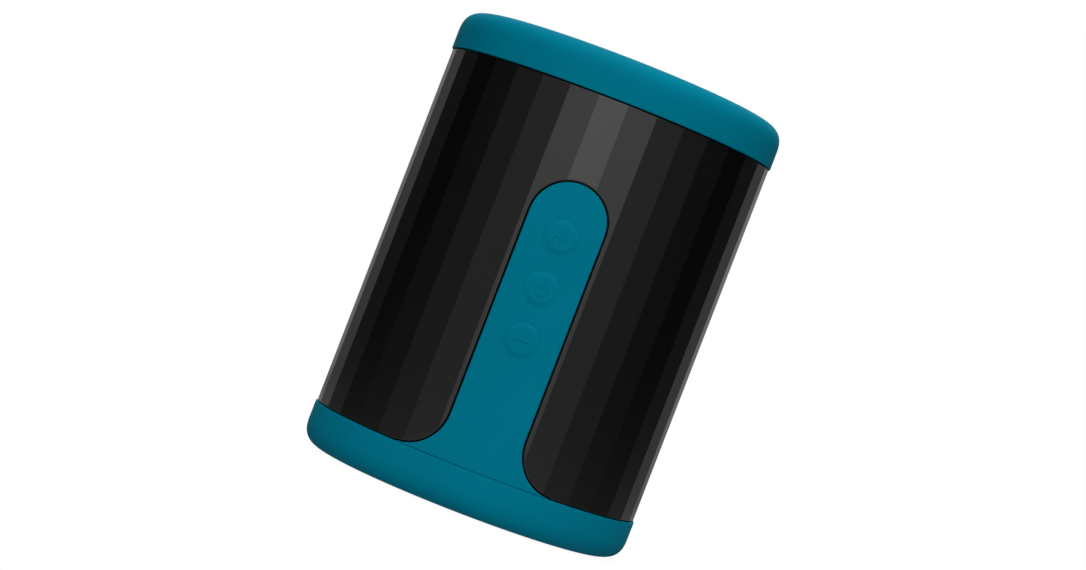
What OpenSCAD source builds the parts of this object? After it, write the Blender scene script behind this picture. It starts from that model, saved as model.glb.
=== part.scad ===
// Portable loudspeaker: a many-sided upright tube between two soft end caps, with a
// control strip that climbs the front from the lower cap, and one driver firing upwards.
// +Z is up, the origin is the centre of the rest face, and the control strip faces -Y.

/* [Body] */
// Overall height
height = 108.4; // [106:0.2:112]
// Radius of the end caps, the widest part
cap_r = 40; // [39.9:0.1:40.4]
// Height of each end cap at its lip
cap_h = 10; // [9:0.5:11]
// Number of flat facets round the sleeve
facets = 36; // [24:12:48]
// Radius of the sleeve over its facet edges
sleeve_r = 39.67; // [39.6:0.01:39.8]
// Clear line between a cap and the sleeve
seam = 0.2; // [0.1:0.05:0.3]

/* [End cap rim] */
// How far the rounded rim reaches in from the side
rim_in = 6.53; // [5:0.01:7]
// How far the rounded rim reaches up from the flat
rim_up = 5.99; // [4:0.01:7]
// Squareness of the rim: 1 is an ellipse, lower is squarer
rim_shape = 0.731; // [0.6:0.001:1]
// Radius of the opening over the grille
mouth_r = 31.2; // [29:0.1:32]

/* [Control strip] */
// Half the width of the strip, measured round the body
strip_half = 8.97; // [7.5:0.01:9.5]
// Top of the strip
strip_top = 78; // [74:0.5:80]
// Radius of the flare at the strip's foot
flare_r = 10.2; // [8:0.1:11]
// Clear line between strip and sleeve
strip_gap = 0.3; // [0.2:0.05:0.4]

/* [Buttons] */
// Radius of a button
button_r = 4.05; // [3.5:0.05:4.2]
// Height of the middle button
button_z = 53.3; // [50:0.1:56]
// Distance from one button to the next
button_pitch = 12.15; // [10.5:0.05:12.5]
// How far a button stands proud of the strip
button_proud = 0.3; // [0.1:0.05:0.4]
// Free line round a button
button_gap = 0.15; // [0.1:0.05:0.2]

/* [Driver] */
// Outer radius of the driver's flange
driver_r = 30; // [29:0.5:30]
// Radius of the moving cone at its edge
cone_r = 20; // [19:0.5:20]
// Centre to centre spacing of the grille's holes
grille_pitch = 3.2; // [3.2:0.1:5]
// Radius of a grille hole
grille_hole_r = 1; // [0.6:0.1:1.2]

/* [Charging port] */
// Width of the flap's opening in the sleeve
port_w = 20; // [18:0.5:21]
// Height of the flap's opening in the sleeve
port_h = 11; // [10:0.5:12]
// Height of the port's centre
port_z = 21; // [20:0.5:21.5]

/* [Hidden] */
$fn = 96;
eps = 0.01;
far = 60;
teal = [0, 0.40, 0.49];
black = [0.10, 0.10, 0.11];
dark = [0.18, 0.18, 0.20];
steel = [0.62, 0.63, 0.65];
copper = [0.75, 0.45, 0.22];
board_green = [0.05, 0.28, 0.16];

// Wall stack, from the outside in
facet_r = sleeve_r * cos(180 / facets);
strip_r = facet_r + 0.03;
strip_in = strip_r - 1.2;
frame_out = strip_in - 0.1;
sleeve_in = 37.4;
frame_in = sleeve_in - 0.1;
chassis_r = sleeve_in - 0.2;
chassis_wall = 2;
chassis_in = chassis_r - chassis_wall;
neck_r = 36.7;
cap_in = neck_r + 0.2;
cap_skin = 2.4;

// Heights of the lower bay and the sealed chamber
plate_z = cap_skin + 0.2;
plate_top = plate_z + 2.6;
sleeve_z0 = cap_h + seam;
sleeve_z1 = height - cap_h - seam;
bulkhead_z = 36;
bulkhead_t = 2;
deck_t = 2.5;
deck_top = sleeve_z1 - 5.7;

// Grille stack, down from the top cap's flange
flange_z = height - cap_skin;
grille_t = 0.8;
grille_z = flange_z - 1.4;
mesh_t = 0.3;
mesh_z = grille_z - mesh_t;
grille_r = mouth_r + 1.8;
grille_field = mouth_r - 2;

// Screws
screw_r = 1;
screw_hole = 1.05;
base_screw = [26.8, 15.5];
driver_screw_r = 27;
frame_screw_r = 33;

// Driver stack
gasket_t = 0.6;
seat_z = deck_top + gasket_t;
flange_t = 1.2;
seat_top = seat_z + flange_t;
roll_in = cone_r - 0.2;
roll_out = cone_r + 4.2;
cone_depth = 8.3;
coil_r = 8;
top_plate_z = seat_z - 17.1;
magnet_z = top_plate_z - 8.5;
yoke_z = magnet_z - 2.5;
yoke_r = 18;
magnet_r = 19;
gap_r = 9.2;
basket_floor = top_plate_z + 3;
spider_z = basket_floor + 3;
tag_z = spider_z + 3;
tag_y = 2.5;
tag_end = 25;

// Keypad stack, as distances in front of the axis
key_x = 10.5;
key_z0 = 31;
key_z1 = 76;
pocket_y = 30.6;
key_board_y = 31.2;
key_board_t = 1;
switch_t = 2;
switch_face = key_board_y + key_board_t + switch_t;
plunger_y = switch_face + 0.9;
flange_y = frame_in - 1.1;
button_zs = [button_z + button_pitch, button_z, button_z - button_pitch];
symbol_arm = 3.3;
symbol_line = 0.55;
symbol_h = 0.12;

// Charging port
panel_x = 11;
panel_z = port_h / 2 + 1;
recess_w = 13.4;
recess_h = 7.4;
recess_floor = 32.8;
board_y = 22.4;
board_t = 1.6;
flap_in = 38;
flap_out = facet_r - 0.02;
flap_gap = 0.25;

// Battery
cell_r = 9.2;
cell_l = 65;
cell_y = -1;
cell_z = 22.2;

// ---- Shared shapes ----

// A plain tube between two heights
module ring(outer, inner, z0, z1) {
    translate([0, 0, z0])
        difference() {
            cylinder(r = outer, h = z1 - z0);
            translate([0, 0, -1]) cylinder(r = inner, h = z1 - z0 + 2);
        }
}

// A solid disc between two heights
module disc(r, z0, z1) {
    translate([0, 0, z0]) cylinder(r = r, h = z1 - z0);
}

// A block given by its two corners
module block(low, high) {
    translate(low) cube(high - low);
}

// A flat outline in X and Z, made solid between two places on Y
module slab_y(y0, y1) {
    translate([0, y1, 0]) rotate([90, 0, 0]) linear_extrude(y1 - y0) children();
}

// A round bar along Y
module bar_y(r, y0, y1, x, z) {
    translate([x, y1, z]) rotate([90, 0, 0]) cylinder(r = r, h = y1 - y0);
}

// A rectangle with round corners, centred
module round_rect(w, h, r) {
    square([w - 2 * r, h], center = true);
    square([w, h - 2 * r], center = true);
    for (x = [-1, 1], y = [-1, 1])
        translate([x * (w / 2 - r), y * (h / 2 - r)]) circle(r = r);
}

// Children at the four places of a rectangle
module at_four(place) {
    for (x = [-1, 1], y = [-1, 1]) translate([x * place[0], y * place[1], 0]) children();
}

// Children at four places on a circle
module at_circle(r) {
    for (a = [45:90:315]) rotate(a) translate([r, 0, 0]) children();
}

// A pan-head screw with its head's underside at z = 0 and its shank below
module screw(head_r, head_h, length) {
    difference() {
        union() {
            cylinder(r = head_r, h = head_h);
            translate([0, 0, -length]) cylinder(r = screw_r, h = length);
        }
        for (a = [0, 90]) rotate(a) block([-head_r * 0.6, -0.2, head_h - 0.5],
            [head_r * 0.6, 0.2, head_h + 1]);
    }
}

// One side direction for each point of a route, carried along so that the tube never twists
function unit(v) = v / norm(v);
function across(v, along) = unit(v - (v * along) * along);
function sides(along, i = 0, last = [0.3, 0.5, 0.8]) =
    i == len(along) ? []
    : let (s = across(last, along[i])) concat([s], sides(along, i + 1, s));

// A wire of eight-sided section through a list of points
module wire(points, r) {
    n = len(points);
    along = [for (i = [0:n - 1]) unit(points[min(i + 1, n - 1)] - points[max(i - 1, 0)])];
    side = sides(along);
    rings = [for (i = [0:n - 1], k = [0:7]) points[i]
        + r * (cos(45 * k) * side[i] + sin(45 * k) * cross(along[i], side[i]))];
    walls = [for (i = [0:n - 2], k = [0:7]) let (a = 8 * i + k, b = 8 * i + (k + 1) % 8)
        [a, a + 8, b + 8, b]];
    polyhedron(rings, concat(walls, [[for (k = [0:7]) k]],
        [[for (k = [7:-1:0]) 8 * (n - 1) + k]]));
}

// ---- End caps ----

// The rounded rim, from the side of the cap to its flat
function rim(steps) = [for (i = [0:steps]) let (t = 90 * i / steps)
    [cap_r - rim_in + rim_in * pow(cos(t), rim_shape), rim_up - rim_up * pow(sin(t), rim_shape)]];

// The lip, where the cap meets the sleeve
function lip() = [[cap_in, cap_h], [cap_r - 0.4, cap_h], [cap_r - 0.12, cap_h - 0.12],
    [cap_r, cap_h - 0.4]];

// Silicone boot with a closed floor, two grip grooves and a shallow centre recess
module bottom_bumper() {
    color(teal)
        difference() {
            rotate_extrude()
                polygon(concat([[0, cap_skin], [cap_in, cap_skin]], lip(), rim(16),
                    [[22.5, 0], [22, 0.5], [0, 0.5]]));
            for (r = [26, 30]) ring(r + 0.4, r - 0.4, -1, 0.4);
        }
}

// Silicone ring that wraps the grille frame and laps over the grille's edge
module top_bumper() {
    edge = 1.2;
    inner = [for (t = [0:15:90])
        [mouth_r + edge - edge * sin(t), edge - edge * cos(t)]];
    color(teal)
        translate([0, 0, height]) mirror([0, 0, 1]) rotate_extrude()
            polygon(concat([[cap_in, cap_skin]], lip(), rim(16), inner,
                [[mouth_r, cap_skin + 0.55], [grille_r + 0.1, cap_skin + 0.55],
                    [grille_r + 0.1, cap_skin]]));
}

// ---- Sleeve and control strip ----

// The strip's outline, grown by a margin: arcs are laid out round the body and projected
// on the XZ plane
function wrap(arc) = strip_r * sin(arc / strip_r * 180 / PI);
function strip_outline(grow, foot) =
    let (half = strip_half + grow, flare = flare_r - grow, top_z = strip_top - strip_half,
        flare_z = sleeve_z0 + flare_r, side = strip_half + flare_r)
    [for (s = [1, -1]) for (i = [0:27]) let (k = s > 0 ? i : 27 - i)
        k == 0 ? [s * wrap(side - flare * cos(max(-90, asin((foot - flare_z) / flare)))), foot]
        : k <= 14 ? let (a = -90 + 90 * (k - 1) / 13)
            [s * wrap(side - flare * cos(a)), max(foot, flare_z + flare * sin(a))]
        : let (a = 90 * (k - 15) / 12) [s * wrap(half * cos(a)), top_z + half * sin(a)]];

// The part of a shell round the axis that lies within an outline on the front
module front_shell(outer, inner, z0, z1) {
    intersection() {
        ring(outer, inner, z0, z1);
        slab_y(-far, 0) children();
    }
}

// Many-sided tube with the strip's cut-out in front and the flap's window behind
module body_sleeve() {
    corners = [for (i = [0:facets - 1]) let (a = (i + 0.5) * 360 / facets)
        sleeve_r * [sin(a), cos(a)]];
    color(black)
        difference() {
            translate([0, 0, sleeve_z0]) linear_extrude(sleeve_z1 - sleeve_z0) polygon(corners);
            disc(sleeve_in, 0, height);
            slab_y(-far, 0) polygon(strip_outline(strip_gap, sleeve_z0 - 1));
            slab_y(0, far) translate([0, port_z]) round_rect(port_w, port_h, 3);
        }
}

// Soft skin of the control strip, with a round hole for each button
module control_strip() {
    color(teal)
        difference() {
            front_shell(strip_r, strip_in, sleeve_z0, height)
                polygon(strip_outline(0, sleeve_z0));
            for (z = button_zs) bar_y(button_r + button_gap, -far, 0, 0, z);
        }
}

// Stiff carrier behind the strip's skin
module key_frame() {
    color(dark)
        difference() {
            front_shell(frame_out, frame_in, sleeve_z0, height)
                polygon(strip_outline(-0.1, sleeve_z0));
            for (z = button_zs) bar_y(button_r + button_gap, -far, 0, 0, z);
        }
}

// ---- Buttons and keypad ----

// A button: raised cap, retaining flange and stem, with its symbol standing on it
module button(z) {
    color(teal) {
        intersection() {
            bar_y(button_r, -far, -flange_y, 0, z);
            disc(strip_r + button_proud, z - 6, z + 6);
        }
        bar_y(button_r + 0.9, -flange_y, -flange_y + 0.6, 0, z);
        bar_y(1.8, -flange_y, -plunger_y, 0, z);
        intersection() {
            slab_y(-far, -flange_y) translate([0, z]) children();
            disc(strip_r + button_proud + symbol_h, z - 6, z + 6);
        }
    }
}

module bar(length) {
    square([length, symbol_line], center = true);
}

module plus_sign() {
    bar(symbol_arm);
    rotate(90) bar(symbol_arm);
}

// A ring open at the top, with a short upright bar in the opening
module power_sign() {
    outer = symbol_arm / 2;
    difference() {
        circle(r = outer);
        circle(r = outer - symbol_line);
        translate([0, outer]) square([1.5, outer * 1.3], center = true);
    }
    translate([0, 0.85]) square([symbol_line, 1.7], center = true);
}

module button_plus() { button(button_zs[0]) plus_sign(); }
module button_power() { button(button_zs[1]) power_sign(); }
module button_minus() { button(button_zs[2]) bar(symbol_arm); }

// The switch plunger that a button's stem presses
module plunger(z) {
    color([0.75, 0.72, 0.66]) bar_y(1.4, -plunger_y, -switch_face + 0.5, 0, z);
}

module plunger_plus() { plunger(button_zs[0]); }
module plunger_power() { plunger(button_zs[1]); }
module plunger_minus() { plunger(button_zs[2]); }

// Three low tactile switches
module key_switches() {
    color(dark)
        for (z = button_zs) difference() {
            block([-2.5, -switch_face, z - 2.5], [2.5, -switch_face + switch_t, z + 2.5]);
            bar_y(1.5, -far, -switch_face + 1.4, 0, z);
        }
}

key_screw_zs = [button_zs[2] - 6, button_zs[0] + 6];

// Narrow circuit board that carries the switches
module key_board() {
    color(board_green)
        difference() {
            block([-8.5, -key_board_y - key_board_t, 32], [8.5, -key_board_y, 74.5]);
            for (z = key_screw_zs) bar_y(screw_hole, -far, 0, 0, z);
        }
}

module key_board_screws() {
    color(steel)
        for (z = key_screw_zs)
            translate([0, -key_board_y - key_board_t, z]) rotate([90, 0, 0]) screw(1.7, 1, 3.4);
}

// Flat cable from the key board, over the cell, to the main board
module key_ribbon() {
    y0 = -key_board_y;
    y1 = board_y;
    color([0.85, 0.62, 0.25])
        translate([3, 0, 0]) rotate([0, -90, 0]) linear_extrude(6)
            polygon([[33.2, y0], [33.2, y1 - 4.3], [30, y1 - 1.1], [30, y1],
                [30.3, y1], [30.3, y1 - 1], [33.5, y1 - 4.2], [33.5, y0]]);
}

// ---- Chassis ----

// The shells, floors, pocket and bosses before anything is drilled
module chassis_body() {
    ring(chassis_r, chassis_in, sleeve_z0, deck_top);
    ring(neck_r, neck_r - chassis_wall, plate_top, sleeve_z0 + 1);
    ring(chassis_r, neck_r - chassis_wall, sleeve_z0, sleeve_z0 + 1);
    disc(chassis_in + eps, bulkhead_z, bulkhead_z + bulkhead_t);
    ring(chassis_r, 25.2, deck_top - deck_t, deck_top);
    at_four(base_screw) disc(3, plate_top, bulkhead_z + eps);
    at_circle(driver_screw_r) disc(1.9, deck_top - 8, deck_top - eps);
    at_circle(frame_screw_r) disc(2.4, deck_top - 8, deck_top - eps);
    intersection() {
        block([-key_x - 1.5, -far, key_z0 - 1.6], [key_x + 1.5, -pocket_y + 1.6, key_z1 + 1.6]);
        disc(chassis_r, 0, height);
    }
    for (z = key_screw_zs) bar_y(2, -key_board_y, -pocket_y + 2.8, 0, z);
    intersection() {
        for (x = [-18, 18]) bar_y(2.4, board_y + board_t, far, x, 30);
        disc(chassis_r, 0, height);
    }
}

// Inner shell: open bay below for the cell and the board, sealed chamber above for the
// driver, and a pocket in front for the keypad
module chassis() {
    color(black)
        difference() {
            chassis_body();
            difference() {
                block([-key_x, -far, key_z0], [key_x, -pocket_y, key_z1]);
                for (z = key_screw_zs) bar_y(2, -key_board_y, 0, 0, z);
            }
            block([-4, -pocket_y - 1, 31.6], [4, -pocket_y + 3, 34.6]);
            block([-panel_x - 0.2, 30, port_z - panel_z - 0.2],
                [panel_x + 0.2, far, port_z + panel_z + 0.2]);
            at_four(base_screw) disc(screw_hole, 0, plate_top + 8);
            at_circle(driver_screw_r) disc(screw_hole, deck_top - 7, height);
            at_circle(frame_screw_r) disc(screw_hole, deck_top - 7, height);
            for (z = key_screw_zs) bar_y(screw_hole, -far, -pocket_y + 2, 0, z);
            for (x = [-18, 18]) bar_y(screw_hole, 0, board_y + 6, x, 30);
            translate([grommet[0], grommet[1], 0]) disc(2.4, bulkhead_z - 1, bulkhead_z + 4);
        }
}

// Plate that closes the bay and holds the boot
module base_plate() {
    color(black)
        difference() {
            union() {
                disc(neck_r, plate_z, plate_top);
                ring(neck_r - chassis_wall - 0.2, neck_r - chassis_wall - 1.7, plate_top - eps,
                    plate_top + 2.8);
            }
            at_four(base_screw) {
                disc(screw_hole + 0.15, 0, far);
                disc(2.6, 0, plate_z + 1.4);
                disc(3.3, plate_top, plate_top + 4);
            }
        }
}

module base_screws() {
    color(steel)
        at_four(base_screw) translate([0, 0, plate_z + 1.4]) mirror([0, 0, 1]) screw(2.1, 1.2, 8);
}

// ---- Top grille ----

// Ring that carries the grille above the driver
module grille_frame() {
    foot = deck_top + 2;
    color(black)
        difference() {
            union() {
                ring(chassis_r, 31.2, deck_top, foot);
                ring(chassis_r, 34.8, deck_top, sleeve_z1);
                ring(neck_r, 34.8, sleeve_z1 - eps, mesh_z);
                ring(neck_r, 30.6, mesh_z - 1.6, mesh_z);
                ring(neck_r, grille_r + 0.2, mesh_z - eps, flange_z - 0.1);
            }
            at_circle(frame_screw_r) disc(screw_hole + 0.15, deck_top - 1, foot + 1);
        }
}

module grille_frame_screws() {
    color(steel) at_circle(frame_screw_r) translate([0, 0, deck_top + 2]) screw(1.6, 1.2, 8);
}

// Perforated steel disc
module top_grille() {
    rows = ceil(grille_field / grille_pitch / 0.866);
    color(dark)
        translate([0, 0, grille_z]) linear_extrude(grille_t)
            difference() {
                circle(r = grille_r);
                for (row = [-rows:rows], col = [-rows:rows])
                    let (x = (col + (row % 2 == 0 ? 0 : 0.5)) * grille_pitch,
                        y = row * grille_pitch * 0.866)
                        if (norm([x, y]) < grille_field - grille_hole_r)
                            translate([x, y]) circle(r = grille_hole_r, $fn = 16);
            }
}

// Fine cloth under the grille that keeps dust off the cone
module dust_mesh() {
    color(black) disc(grille_r - 0.2, mesh_z, mesh_z + mesh_t);
}

// ---- Driver ----

// Pressed steel basket with four windows
module driver_basket() {
    wall = 1;
    low_r = 19.6;
    high_r = roll_out + 0.3 + wall;
    color(steel)
        difference() {
            rotate_extrude()
                polygon([[gap_r + 0.3, basket_floor], [low_r, basket_floor],
                    [low_r, spider_z - 0.3], [high_r - 0.6, seat_z - 2], [high_r - 0.5, seat_z],
                    [driver_r, seat_z], [driver_r, seat_top], [roll_out - 0.5, seat_top],
                    [roll_out - 0.5, seat_z - 1.2], [low_r - wall, spider_z],
                    [low_r - 2.4, spider_z], [low_r - 2.4, spider_z - 0.8],
                    [low_r - wall, spider_z - 0.8], [low_r - wall, basket_floor + wall],
                    [gap_r + 0.3, basket_floor + wall]]);
            for (a = [45:90:315]) rotate(a)
                block([low_r - 1.9, -5.5, spider_z + 1.5], [far, 5.5, seat_z - 2.5]);
            at_circle(driver_screw_r) disc(screw_hole + 0.15, seat_z - 1, seat_top + 1);
        }
}

module driver_gasket() {
    color(dark)
        difference() {
            ring(driver_r, 25.4, deck_top, seat_z);
            at_circle(driver_screw_r) disc(screw_hole + 0.4, deck_top - 1, seat_z + 1);
        }
}

module driver_screws() {
    color(steel) at_circle(driver_screw_r) translate([0, 0, seat_top]) screw(1.9, 1.2, 7);
}

module driver_top_plate() {
    color(steel) ring(yoke_r, gap_r, top_plate_z, basket_floor);
}

module driver_magnet() {
    color(dark) ring(magnet_r, 10.5, magnet_z, top_plate_z);
}

// Back plate and pole in one
module driver_yoke() {
    color(steel) {
        disc(yoke_r, yoke_z, magnet_z);
        disc(coil_r - 0.5, yoke_z, basket_floor);
    }
}

// Tag board on the side of the basket, with two solder tags
module driver_terminals() {
    color(copper) {
        block([22.95, -4, tag_z - 1.8], [23.95, 4, tag_z + 2.7]);
        block([21.8, -1.5, tag_z - 0.3], [22.96, 1.5, tag_z + 0.5]);
        for (y = [-tag_y, tag_y])
            block([23.94, y - 0.8, tag_z - 0.2], [tag_end, y + 0.8, tag_z + 0.2]);
    }
}

// Half-roll rubber surround
module driver_surround() {
    mid = (roll_in + roll_out) / 2;
    big = (roll_out - roll_in) / 2;
    skin = 0.5;
    z = seat_top + 0.02;
    color(black)
        rotate_extrude()
            polygon(concat([[roll_in - 1.4, z], [roll_in - 1.4, z + skin]],
                [for (t = [0:15:180]) [mid - big * cos(t), z + skin + big * sin(t)]],
                [[roll_out + 0.8, z + skin], [roll_out + 0.8, z], [roll_out - skin, z]],
                [for (t = [180:-15:0])
                    [mid - (big - skin) * cos(t), z + skin + (big - skin) * sin(t)]],
                [[roll_in + skin, z]]));
}

// Corrugated cloth spider that centres the voice coil
module driver_spider() {
    inner = coil_r + 0.3;
    outer = 18.5;
    waves = 5;
    function lift(r) = r > outer - 1.4 ? 0
        : 0.45 * sin(360 * waves * (r - inner) / (outer - 1.4 - inner));
    rs = [for (i = [0:50]) inner + (outer - inner) * i / 50];
    color([0.72, 0.58, 0.30])
        translate([0, 0, spider_z + 0.02]) rotate_extrude()
            polygon(concat([for (r = rs) [r, lift(r)]],
                [for (i = [50:-1:0]) [rs[i], lift(rs[i]) + 0.35]]));
}

// Cone of coated paper
module speaker_cone() {
    skin = 0.7;
    edge = seat_top;
    color(dark)
        rotate_extrude()
            polygon([[coil_r + 0.3, edge - cone_depth], [cone_r - 1.5, edge - skin],
                [cone_r - 0.4, edge - skin], [cone_r - 0.4, edge], [cone_r - 1.7, edge],
                [coil_r + 0.3, edge - cone_depth + skin + 0.4]]);
}

// Domed cap over the voice coil
module dust_cap() {
    foot_r = 9.6;
    rise = 3.2;
    ball = (foot_r * foot_r + rise * rise) / (2 * rise);
    z = seat_top - cone_depth + 2.35;
    color(black)
        difference() {
            translate([0, 0, z + rise - ball]) sphere(r = ball);
            translate([0, 0, z + rise - ball]) sphere(r = ball - 0.6);
            disc(far, z - far, z);
        }
}

// Former and its winding
module voice_coil() {
    color(copper) {
        ring(coil_r + 0.25, coil_r, top_plate_z - 0.5, seat_top - cone_depth + 1);
        ring(coil_r + 0.7, coil_r + 0.2, top_plate_z - 1, top_plate_z + 4);
    }
}

// ---- Battery ----

// A bar along X, the way the cell lies
module bar_x(r, length) {
    translate([-length / 2, cell_y, cell_z]) rotate([0, 90, 0]) cylinder(r = r, h = length);
}

module battery_cell() {
    color([0.25, 0.45, 0.75]) bar_x(cell_r, cell_l);
}

module battery_tabs() {
    color(steel)
        for (s = [-1, 1]) translate([s * (cell_l / 2 + 0.2), cell_y, cell_z])
            cube([0.3, 6, 12], center = true);
}

// Two saddles on a common base
module battery_cradle() {
    color(dark)
        difference() {
            union() {
                block([-25, cell_y - 8, plate_top], [25, cell_y + 8, plate_top + 2]);
                for (x = [-18, 18])
                    block([x - 3, cell_y - cell_r - 1.4, plate_top],
                        [x + 3, cell_y + cell_r + 1.4, cell_z - 1]);
            }
            bar_x(cell_r + 0.1, cell_l + 10);
        }
}

// Foam pads that press the cell down on its cradle
module battery_pads() {
    color([0.3, 0.3, 0.32])
        for (x = [-18, 18]) difference() {
            block([x - 6, cell_y - 5, cell_z + 6], [x + 6, cell_y + 5, bulkhead_z]);
            bar_x(cell_r + 0.05, cell_l + 10);
        }
}

// Both leads climb past the cell's end, run along its side and end in their socket
socket_face = board_y - 4.02;
battery_lead = [[33.5, 1, 26], [33.5, 2.5, 31], [31, 6, 31.5], [14, 7.5, 31], [9.5, 12.5, 29],
    [9.5, 17, 26], [9.5, socket_face, 26]];
return_lead = [[-33.5, 1, 26], [-33.5, 2.5, 31], [-31, 6, 31.5], [-14, 7.5, 31.5], [0, 9, 31],
    [7.5, 12.5, 29], [7.5, 17, 26], [7.5, socket_face, 26]];

module battery_wires() {
    color([0.7, 0.1, 0.1]) {
        wire(battery_lead, 0.6);
        wire(return_lead, 0.6);
    }
}

// ---- Main board ----

module main_board() {
    color(board_green)
        difference() {
            block([-21.5, board_y, 13.4], [21.5, board_y + board_t, 34.4]);
            for (x = [-18, 18]) bar_y(screw_hole + 0.1, 0, far, x, 30);
        }
}

module board_screws() {
    color(steel)
        for (x = [-18, 18]) translate([x, board_y, 30]) rotate([90, 0, 0]) screw(1.9, 1.1, 6);
}

// A component that stands on the board's front face
module on_board(x, z, w, h, depth) {
    block([x - w / 2, board_y - depth, z - h / 2], [x + w / 2, board_y, z + h / 2]);
}

module bluetooth_module() {
    color(steel) {
        on_board(-11, 19.5, 15, 10, 0.8);
        on_board(-12.5, 19.5, 11, 9, 2.4);
    }
}

module amplifier_chip() {
    color(dark) on_board(2.5, 18, 6, 6, 1.1);
}

module power_inductors() {
    color(dark) for (x = [10.5, 17.2]) on_board(x, 17, 5.6, 5.6, 3);
}

module board_capacitors() {
    color(steel)
        for (x = [-12, -6.2]) bar_y(2.5, board_y - 6, board_y, x, 30.6);
}

// Sockets for the cell, the driver and the key ribbon
module board_connectors() {
    color([0.9, 0.88, 0.8]) {
        on_board(8.5, 26, 6, 4.2, 4);
        on_board(15.5, 24, 5, 4.2, 4);
    }
}

// ---- Charging port ----

// Round-ended slot shape of the socket
module socket_shape(w, h) {
    round_rect(w, h, h / 2 - eps);
}

// Steel socket with its contact tongue
module usb_socket() {
    color(steel)
        translate([0, 0, port_z]) {
            difference() {
                slab_y(board_y + board_t, recess_floor) socket_shape(8.94, 3.26);
                slab_y(recess_floor - 6.2, far) socket_shape(8.34, 2.66);
            }
            slab_y(recess_floor - 6.2 - eps, recess_floor - 0.6) square([6.6, 0.7], center = true);
        }
}

// Recessed panel behind the flap
module port_panel() {
    color(black)
        difference() {
            intersection() {
                block([-panel_x, recess_floor - 1.6, port_z - panel_z],
                    [panel_x, far, port_z + panel_z]);
                disc(frame_in - 0.1, 0, height);
            }
            translate([0, 0, port_z]) {
                slab_y(recess_floor, far) round_rect(recess_w, recess_h, 1);
                slab_y(0, far) socket_shape(9.14, 3.46);
            }
            bar_y(0.85, 0, far, -8.6, port_z);
        }
}

// Light guide for the charging light, beside the socket
module charge_led() {
    color([0.9, 0.95, 0.9]) bar_y(0.8, recess_floor - 1.4, 36, -8.6, port_z);
}

// A curved plate that fills the flap's window, between two heights on Z
module flap_plate(low, high) {
    intersection() {
        ring(flap_out, flap_in, low, high);
        slab_y(0, far) translate([0, port_z])
            round_rect(port_w - 2 * flap_gap, port_h - 2 * flap_gap, 3 - flap_gap);
    }
}

flap_line = port_z - port_h / 2 + 1.6;

// Silicone flap: it turns down about its lower edge
module port_flap() {
    color(teal) {
        flap_plate(flap_line, height);
        translate([0, 0, port_z]) slab_y(37.2, flap_in + 0.6) difference() {
            round_rect(12.4, 6.4, 1.6);
            round_rect(10.8, 4.8, 1);
        }
    }
}

// Fixed foot of the flap, held in the window below the hinge line
module flap_anchor() {
    color(teal) flap_plate(0, flap_line - 0.15);
}

// ---- Driver wiring ----

grommet = [24.5, 8];

// Rubber bush that seals the two wires through the bulkhead
module cable_grommet() {
    color(dark)
        difference() {
            translate([grommet[0], grommet[1], 0]) {
                disc(2.35, bulkhead_z - 0.6, bulkhead_z + bulkhead_t + 0.6);
                disc(3.2, bulkhead_z + bulkhead_t, bulkhead_z + bulkhead_t + 0.9);
                disc(3.2, bulkhead_z - 0.9, bulkhead_z);
            }
            for (y = [-0.9, 0.9])
                translate([grommet[0], grommet[1] + y, 0]) disc(0.65, 0, height);
        }
}

function speaker_lead(side) = [[tag_end + 0.02, side * tag_y, tag_z],
    [26.2, side * tag_y, tag_z - 0.2], [27, side * 2.2, 82], [27, side * 2, 76],
    [26.5, side * 1.5, 60], [26, 5 + side, 46], [24.5, 8 + side * 0.9, 42],
    [24.5, 8 + side * 0.9, 34.4], [23, 10 + side * 0.9, 33], [18, 14 + side * 0.9, 29],
    [15.5 + side * 0.8, 17, 24.4], [15.5 + side * 0.8, socket_face, 24.4]];

module speaker_wires() {
    color([0.15, 0.15, 0.16])
        for (side = [-1, 1]) wire(speaker_lead(side), 0.6);
}

bottom_bumper();
top_bumper();
body_sleeve();
control_strip();
key_frame();
button_plus();
button_power();
button_minus();
plunger_plus();
plunger_power();
plunger_minus();
key_board();
key_switches();
key_board_screws();
key_ribbon();
chassis();
base_plate();
base_screws();
grille_frame();
grille_frame_screws();
top_grille();
dust_mesh();
driver_basket();
driver_gasket();
driver_screws();
driver_top_plate();
driver_magnet();
driver_yoke();
driver_terminals();
driver_surround();
driver_spider();
speaker_cone();
dust_cap();
voice_coil();
battery_cell();
battery_tabs();
battery_cradle();
battery_pads();
battery_wires();
main_board();
board_screws();
bluetooth_module();
amplifier_chip();
power_inductors();
board_capacitors();
board_connectors();
usb_socket();
port_panel();
port_flap();
flap_anchor();
charge_led();
speaker_wires();
cable_grommet();
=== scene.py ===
from math import asin, ceil, cos, pi, radians, sin, sqrt, tan, tau

import bmesh
import bpy
from mathutils import Matrix, Vector


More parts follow.
